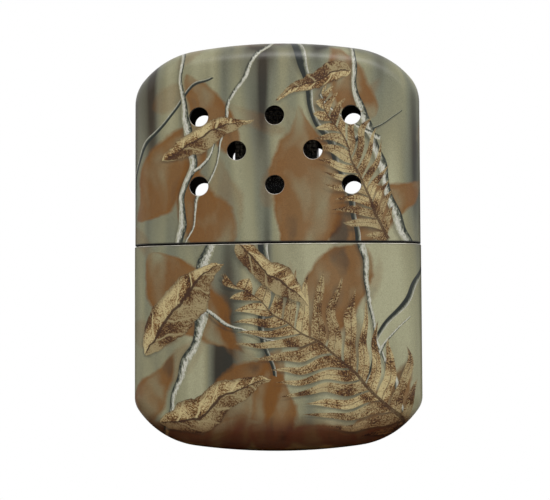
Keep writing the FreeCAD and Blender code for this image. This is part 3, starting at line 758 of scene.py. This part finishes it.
# ---- Wire cage ------------------------------------------------------------------------------------------
MAT_GAP = 0.04              # room between the catalyst mat and the wires, in mm


class Arch:
    """The cage's arch, seen along X: up the front, over the top and down the back."""

    def __init__(self):
        low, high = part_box("wire_cage")
        mat_low, mat_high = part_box("catalyst_pad")
        self.foot = mat_low.z
        self.half_width = high.x
        self.mat_half_depth = mat_high.y
        self.centre = mat_high.z - mat_high.y
        self.middle = (high.y + mat_high.y) / 2 + MAT_GAP * MM / 2      # of the cloth's thickness
        self.straight = self.centre - self.foot
        self.length = 2 * self.straight + math.pi * self.middle

    def at(self, along, proud):
        """The point this far along the middle of the cloth, and this far proud of it."""
        radius = self.middle + proud
        if along < self.straight:
            return -radius, self.foot + along
        if along > self.length - self.straight:
            return radius, self.foot + self.length - along
        angle = (along - self.straight) / self.middle
        return -radius * math.cos(angle), self.centre + radius * math.sin(angle)


def woven_places(first, last, pitch):
    """Places from first to last, as near to the pitch as comes out even."""
    count = max(2, round((last - first) / pitch))
    return [first + (last - first) * i / count for i in range(count + 1)]


class HANDWARMER_OT_wire_cage(bpy.types.Operator):
    """Weave the burner's wire cage, each wire over and under the ones it crosses"""

    bl_idname = "handwarmer.wire_cage"
    bl_label = "Weave the Wire Cage"
    bl_options = {"REGISTER", "UNDO"}

    def execute(self, context):
        settings = context.scene.hand_warmer
        radius = settings.fibre.wire_thickness * MM / 2
        pitch = settings.fibre.wire_pitch * MM
        arch = Arch()
        edge = arch.half_width - radius
        uprights = woven_places(-edge, edge, pitch)
        levels = woven_places(radius, arch.length - radius, pitch)
        cloth = bpy.data.curves.new("wire_cloth", "CURVE")
        cloth.dimensions = "3D"
        cloth.bevel_depth = radius
        cloth.bevel_resolution = 1
        cloth.resolution_u = 2
        cloth.use_fill_caps = True
        step = levels[1] - levels[0]
        for number, x in enumerate(uprights):
            points = []
            for i in range(2 * len(levels) - 1):
                along = levels[0] + step * i / 2
                side = math.cos(math.pi * (i / 2 + number))
                y, z = arch.at(along, radius * side)
                points.append((x, y, z))
            self.wire(cloth, points)
        step = uprights[1] - uprights[0]
        for number, along in enumerate(levels):
            points = []
            for i in range(2 * len(uprights) - 1):
                side = -math.cos(math.pi * (i / 2 + number))
                y, z = arch.at(along, radius * side)
                points.append((uprights[0] + step * i / 2, y, z))
            self.wire(cloth, points)
        curve = bpy.data.objects.new("wire_cloth_curve", cloth)
        context.scene.collection.objects.link(curve)
        context.view_layer.update()
        mesh = bpy.data.meshes.new_from_object(curve)
        bpy.data.objects.remove(curve)
        piece = finish_piece("wire_cloth", mesh, "burner", "wire_cloth", "wire_cage")
        for polygon in mesh.polygons:
            polygon.use_smooth = True
        metal = settings.metal
        piece.data.materials.append(plated_steel("Drawn stainless wire", metal.wire, metal.painted_shade,
                                                 roughness=0.30, grain_mm=0.20, tint=0.9))
        return {"FINISHED"}

    @staticmethod
    def wire(cloth, points):
        """One smooth wire through a row of points."""
        spline = cloth.splines.new("NURBS")
        spline.points.add(len(points) - 1)
        for spot, place in zip(spline.points, points):
            spot.co = (*place, 1.0)
        spline.order_u = 3
        spline.use_endpoint_u = True


# ---- Padding --------------------------------------------------------------------------------------------
def fibre_material(name, colour, dark, fibre_mm, bump_mm, sheen):
    """Matted fibre: no gloss, a faint sheen at grazing angles, and a tangle of fine strands."""
    material, tree, output = new_material(name)
    coordinate = add(tree, "TexCoord")
    place = add(tree, "VectorMath SCALE", coordinate.outputs["Object"], 1 / MM)
    swirl = add(tree, "TexNoise", Vector=place, Scale=0.9, Detail=2.0)
    tangled = add(tree, "VectorMath MULTIPLY_ADD", swirl.outputs["Color"], (3.0, 3.0, 3.0), place)
    strands = add(tree, "TexVoronoi", Vector=tangled, Scale=1 / (5 * fibre_mm), feature="DISTANCE_TO_EDGE")
    strand = add(tree, "MapRange", strands, 0.0, 0.25)
    clumps = add(tree, "TexNoise", Vector=place, Scale=0.7, Detail=5.0, Roughness=0.65)
    depth = add(tree, "Math MULTIPLY", strand, clumps)
    # Painted shade: the colour darkens where the bump is low, in the hollows between strands and clumps.
    tone = add(tree, "MapRange", depth, 0.1, 0.6, dark, 1.0)
    base = add(tree, "VectorMath SCALE", tuple(colour), tone)
    bump = add(tree, "Bump", Strength=0.8, Distance=bump_mm * MM, Height=depth)
    shader = add(tree, "BsdfPrincipled", Base_Color=base, Roughness=0.95, Specular_IOR_Level=0.15,
                 Sheen_Weight=sheen, Sheen_Roughness=0.6, Normal=bump)
    fill(output, Surface=shader)
    return material


def press_in(mesh, depth, size):
    """Moves a mesh's skin inwards by up to a depth, in lumps of a size, so that it stays in its place."""
    bm = bmesh.new()
    bm.from_mesh(mesh)
    bm.normal_update()
    moves = [(v, v.normal * depth * (0.5 + 0.5 * noise.fractal(v.co / size, 0.8, 2.0, 3)))
             for v in bm.verts]
    for vert, move in moves:
        vert.co -= Vector(max(-depth, min(depth, c)) for c in move)
    for face in bm.faces:
        face.smooth = True
    bm.to_mesh(mesh)
    bm.free()


def soft_copy(context, node, voxel):
    """A node's form remeshed in even faces, which padding is then shaped from."""
    bm = bmesh.new()
    bm.from_mesh(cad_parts[node].data)
    bmesh.ops.remove_doubles(bm, verts=bm.verts, dist=0.000001)
    mesh = bpy.data.meshes.new(node + "_copy")
    bm.to_mesh(mesh)
    bm.free()
    copy = bpy.data.objects.new(mesh.name, mesh)
    context.scene.collection.objects.link(copy)
    remesh = copy.modifiers.new("Even faces", "REMESH")
    remesh.mode = "VOXEL"
    remesh.voxel_size = voxel
    soften = copy.modifiers.new("Soft corners", "SMOOTH")
    soften.iterations = 3
    context.view_layer.update()
    soft = bpy.data.meshes.new_from_object(copy.evaluated_get(context.evaluated_depsgraph_get()))
    bpy.data.objects.remove(copy)
    return soft


class HANDWARMER_OT_fuel_wad(bpy.types.Operator):
    """Pack the tank with its cotton wad and felt pad"""

    bl_idname = "handwarmer.fuel_wad"
    bl_label = "Pack the Tank"
    bl_options = {"REGISTER", "UNDO"}

    def execute(self, context):
        fibre = context.scene.hand_warmer.fibre
        cotton = soft_copy(context, "fuel_cotton", voxel=1.2 * MM)
        press_in(cotton, depth=0.7 * MM, size=5 * MM)
        wad = finish_piece("cotton_wad", cotton, "tank", "cotton", "fuel_cotton")
        wad.data.materials.append(fibre_material(
            "Cotton wool", fibre.cotton, dark=0.8, fibre_mm=0.30, bump_mm=0.25, sheen=0.4))
        felt = soft_copy(context, "felt_pad", voxel=0.45 * MM)
        press_in(felt, depth=0.12 * MM, size=1.5 * MM)
        pad = finish_piece("felt_plug", felt, "tank", "felt", "felt_pad")
        pad.data.materials.append(fibre_material(
            "Pressed felt", fibre.felt, dark=0.75, fibre_mm=0.15, bump_mm=0.10, sheen=0.3))
        return {"FINISHED"}


WIRE_DENT = 0.04            # how far each set of wires presses the catalyst mat in, in mm
LUMP_DEPTH = 0.08           # how deep its lumps are, in mm
LUMP_SIZE = 0.8             # how far apart they are, in mm


def draw_out(bm, edges, rise, count):
    """Draws a row of edges out by a rise, a number of times over; returns the last row."""
    for _ in range(count):
        new = bmesh.ops.extrude_edge_only(bm, edges=edges)["geom"]
        edges = [e for e in new if isinstance(e, bmesh.types.BMEdge) and all(v in new for v in e.verts)]
        bmesh.ops.translate(bm, vec=(0, 0, rise), verts=list({v for e in edges for v in e.verts}))
    return edges


class HANDWARMER_OT_catalyst_mat(bpy.types.Operator):
    """Fold the glass-fibre mat into the cage, quilted where the wires press on it"""

    bl_idname = "handwarmer.catalyst_mat"
    bl_label = "Fold the Catalyst Mat"
    bl_options = {"REGISTER", "UNDO"}

    def execute(self, context):
        fibre = context.scene.hand_warmer.fibre
        low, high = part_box("catalyst_pad")
        arch = Arch()
        pitch = fibre.wire_pitch * MM
        across = 4 * max(2, round((high.x - low.x) / pitch))
        up = 3 * max(2, round(arch.straight / pitch))
        over = 4 * max(2, round(math.pi * arch.mat_half_depth / pitch))
        bm = bmesh.new()
        row = [bm.verts.new((low.x + (high.x - low.x) * i / across, low.y, low.z)) for i in range(across + 1)]
        edges = [bm.edges.new(pair) for pair in zip(row, row[1:])]
        step = arch.straight / up
        edges = draw_out(bm, edges, step, up)
        turned = bmesh.ops.spin(bm, geom=edges, cent=(0, 0, arch.centre), axis=(1, 0, 0),
                                angle=-math.pi, steps=over, use_duplicate=False)
        edges = [e for e in turned["geom_last"] if isinstance(e, bmesh.types.BMEdge)]
        draw_out(bm, edges, -step, up)
        rim = [e for e in bm.edges if e.is_boundary]
        bmesh.ops.holes_fill(bm, edges=rim, sides=0)
        bmesh.ops.recalc_face_normals(bm, faces=bm.faces)
        # The wires press the mat in; between them it stands full.
        bm.normal_update()
        moves = []
        for vert in bm.verts:
            x = math.cos(2 * math.pi * (vert.co.x - low.x) / pitch)
            if vert.co.z < arch.centre:
                along = vert.co.z - arch.foot
            else:
                along = arch.straight + arch.middle * math.atan2(vert.co.z - arch.centre, abs(vert.co.y))
            level = math.cos(2 * math.pi * along / pitch)
            lumps = 0.5 + 0.5 * noise.noise(vert.co / (LUMP_SIZE * MM))
            depth = WIRE_DENT * max(0, x) + WIRE_DENT * max(0, level) + LUMP_DEPTH * lumps
            moves.append((vert, vert.normal * MM * depth))
        for vert, move in moves:
            vert.co -= move
        for face in bm.faces:
            face.smooth = len(face.verts) < 5
        mesh = bpy.data.meshes.new("catalyst_mat")
        bm.to_mesh(mesh)
        bm.free()
        mat = finish_piece("catalyst_mat", mesh, "burner", "catalyst_fibre", "catalyst_pad")
        mat.data.materials.append(fibre_material(
            "Matted glass fibre", fibre.glass, dark=0.45, fibre_mm=0.12, bump_mm=0.10, sheen=0.15))
        return {"FINISHED"}


# ---- Stage ----------------------------------------------------------------------------------------------
FRAMING = (0.06, 0.09, -0.25)       # the camera's pan, tilt and roll off its aim, in degrees
FLOOR_SIZE = 3.0                    # metres
# Each lamp's name and setting, its place, its size in metres, and whether the lacquer mirrors it.
LAMPS = (("Key light", "key", (0.12, -0.80, 0.78), (0.9, 0.20), True),
         ("Side light", "side", (0.45, -1.2, 0.40), (0.6, 0.6), False))
# Each card's name, size in metres, tilt in degrees and place. The front card stands behind the
# camera: it keeps a white veil off the lacquer and makes flat chrome that faces the camera dark.
# Those at the sides darken the case's edges, and the one on the floor the rounding of its foot.
CARDS = (("front_card", (1.2, 0.64), 90, (-0.05, -0.70, 0.26)),
         ("left_card", (0.6, 0.2), 90, (-0.36, 0.35, 0.05)),
         ("right_card", (0.6, 0.2), 90, (0.36, 0.35, 0.05)),
         ("floor_card", (0.3, 0.12), 0, (0.0, -0.04, 0.0002)))


def flat_sheet(name, size, material, tilt=0, place=(0.0, 0.0, 0.0)):
    """A flat sheet of a width and depth, tilted about its own middle and then put in its place."""
    bm = bmesh.new()
    bmesh.ops.create_grid(bm, x_segments=1, y_segments=1, size=0.5)
    bmesh.ops.scale(bm, vec=(*size, 1.0), verts=bm.verts)
    bmesh.ops.rotate(bm, matrix=Matrix.Rotation(math.radians(tilt), 3, "X"), verts=bm.verts)
    bmesh.ops.translate(bm, vec=place, verts=bm.verts)
    mesh = bpy.data.meshes.new(name)
    bm.to_mesh(mesh)
    bm.free()
    mesh.materials.append(material)
    sheet = bpy.data.objects.new(name, mesh)
    bpy.context.scene.collection.objects.link(sheet)
    return sheet


def away_from_target(azimuth, elevation):
    """The direction from the camera's target to the camera."""
    return Vector((math.sin(azimuth) * math.cos(elevation), -math.cos(azimuth) * math.cos(elevation),
                   math.sin(elevation)))


class HANDWARMER_OT_stage(bpy.types.Operator):
    """Set the warmer on a pale floor in soft light, with the camera in front and a little low"""

    bl_idname = "handwarmer.stage"
    bl_label = "Set the Stage"
    bl_options = {"REGISTER", "UNDO"}

    def execute(self, context):
        settings = context.scene.hand_warmer.stage
        self.camera(context, settings)
        self.floor(settings)
        self.surround(context, settings)
        self.cards()
        self.lamps(context, settings)
        context.scene.view_settings.view_transform = "Standard"
        return {"FINISHED"}

    @staticmethod
    def camera(context, settings):
        """Aims at the middle of the seam, then turns by the small angles that frame the warmer."""
        pan, tilt, roll = (math.radians(angle) for angle in FRAMING)
        azimuth, elevation = settings.azimuth, settings.elevation
        place = Vector((0.0, 0.0, SEAM * MM)) + settings.distance * away_from_target(azimuth, elevation)
        back = away_from_target(azimuth + pan, elevation + tilt)
        right = (-back).cross(Vector((0, 0, 1))).normalized()
        turn = Matrix((right, back.cross(right), back)).transposed().to_4x4()
        data = bpy.data.cameras.new("Camera")
        data.lens = settings.lens
        data.sensor_width = 36
        data.clip_start = 0.01
        camera = bpy.data.objects.new("Camera", data)
        camera.matrix_world = Matrix.Translation(place) @ turn @ Matrix.Rotation(roll, 4, "Z")
        context.scene.collection.objects.link(camera)
        context.scene.camera = camera

    @staticmethod
    def floor(settings):
        """A plain pale floor. The camera stands a hair below it, so its underside lets the camera through."""
        material, tree, output = new_material("Matt pale card")
        card = add(tree, "BsdfDiffuse", Color=settings.floor)
        clear = add(tree, "BsdfTransparent")
        under = add(tree, "NewGeometry").outputs["Backfacing"]
        mix = add(tree, "MixShader", under, card, clear)
        fill(output, Surface=mix)
        floor = flat_sheet("floor", (FLOOR_SIZE, FLOOR_SIZE), material)

    @staticmethod
    def cards():
        """Dark cards that are seen only in reflections."""
        material, tree, output = new_material("Black card")
        black = add(tree, "BsdfDiffuse", Color=(0.01, 0.01, 0.01))
        fill(output, Surface=black)
        for name, size, tilt, place in CARDS:
            card = flat_sheet(name, size, material, tilt, place)
            card.visible_camera = card.visible_diffuse = card.visible_shadow = False
            card.visible_transmission = False

    @staticmethod
    def lamps(context, settings):
        """A wide light above the camera and a weak one on the right."""
        for name, power, place, size, mirrored in LAMPS:
            lamp = bpy.data.lights.new(name, "AREA")
            lamp.shape = "RECTANGLE"
            lamp.size, lamp.size_y = size
            lamp.energy = getattr(settings, power)
            light = bpy.data.objects.new(name, lamp)
            light.location = place
            light.visible_glossy = mirrored
            aim = Vector((0.0, 0.0, 0.05)) - light.location
            light.rotation_euler = aim.to_track_quat("-Z", "Y").to_euler()
            context.scene.collection.objects.link(light)

    @staticmethod
    def surround(context, settings):
        """White behind the warmer and in its reflections, and soft light that is stronger from above."""
        world = bpy.data.worlds.new("Surround")
        world.use_nodes = True
        tree = world.node_tree
        tree.nodes.clear()
        path = add(tree, "LightPath")
        seen = add(tree, "Math MAXIMUM", path.outputs["Is Camera Ray"], path.outputs["Is Glossy Ray"])
        seen = add(tree, "Math MAXIMUM", seen, path.outputs["Is Transmission Ray"])
        direction = add(tree, "TexCoord").outputs["Generated"]
        up = add(tree, "SeparateXYZ", direction).outputs["Z"]
        level = add(tree, "MapRange", up, -0.4, 0.8, settings.sky * 0.6, settings.sky * 1.3)
        soft = add(tree, "Background", Color=(1.0, 1.0, 1.0), Strength=level)
        white = add(tree, "Background", Color=(1.0, 1.0, 1.0), Strength=1.0)
        mix = add(tree, "MixShader", seen, soft, white)
        output = add(tree, "OutputWorld", Surface=mix)
        context.scene.world = world


# ---- Panel and registration -------------------------------------------------------------------------------
OPERATORS = (HANDWARMER_OT_printed_case, HANDWARMER_OT_tank_fittings, HANDWARMER_OT_burner_frame,
             HANDWARMER_OT_wire_cage, HANDWARMER_OT_catalyst_mat, HANDWARMER_OT_fuel_wad,
             HANDWARMER_OT_stage)


class HANDWARMER_PT_sidebar(bpy.types.Panel):
    """Sizes, colours and steps of the hand warmer"""

    bl_idname = "HANDWARMER_PT_sidebar"
    bl_label = "Hand Warmer"
    bl_space_type = "VIEW_3D"
    bl_region_type = "UI"
    bl_category = "Hand Warmer"

    def draw(self, context):
        settings = context.scene.hand_warmer
        for title, group in (("Film", settings.film), ("Metal", settings.metal),
                             ("Fibre and Wire", settings.fibre), ("Stage", settings.stage)):
            box = self.layout.box()
            box.label(text=title)
            for name in group.bl_rna.properties.keys():
                if name not in ("rna_type", "name"):
                    box.prop(group, name)
        for operator in OPERATORS:
            self.layout.operator(operator.bl_idname)


CLASSES = (FilmSettings, MetalSettings, FibreSettings, StageSettings, WarmerSettings, *OPERATORS,
           HANDWARMER_PT_sidebar)


def register():
    for cls in CLASSES:
        bpy.utils.register_class(cls)
    bpy.types.Scene.hand_warmer = PointerProperty(type=WarmerSettings)


def unregister():
    del bpy.types.Scene.hand_warmer
    for cls in reversed(CLASSES):
        bpy.utils.unregister_class(cls)


def main():
    register()
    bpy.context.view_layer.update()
    bpy.ops.handwarmer.printed_case()
    bpy.ops.handwarmer.tank_fittings()
    bpy.ops.handwarmer.burner_frame()
    bpy.ops.handwarmer.wire_cage()
    bpy.ops.handwarmer.catalyst_mat()
    bpy.ops.handwarmer.fuel_wad()
    bpy.ops.handwarmer.stage()


if __name__ == "__main__":
    main()
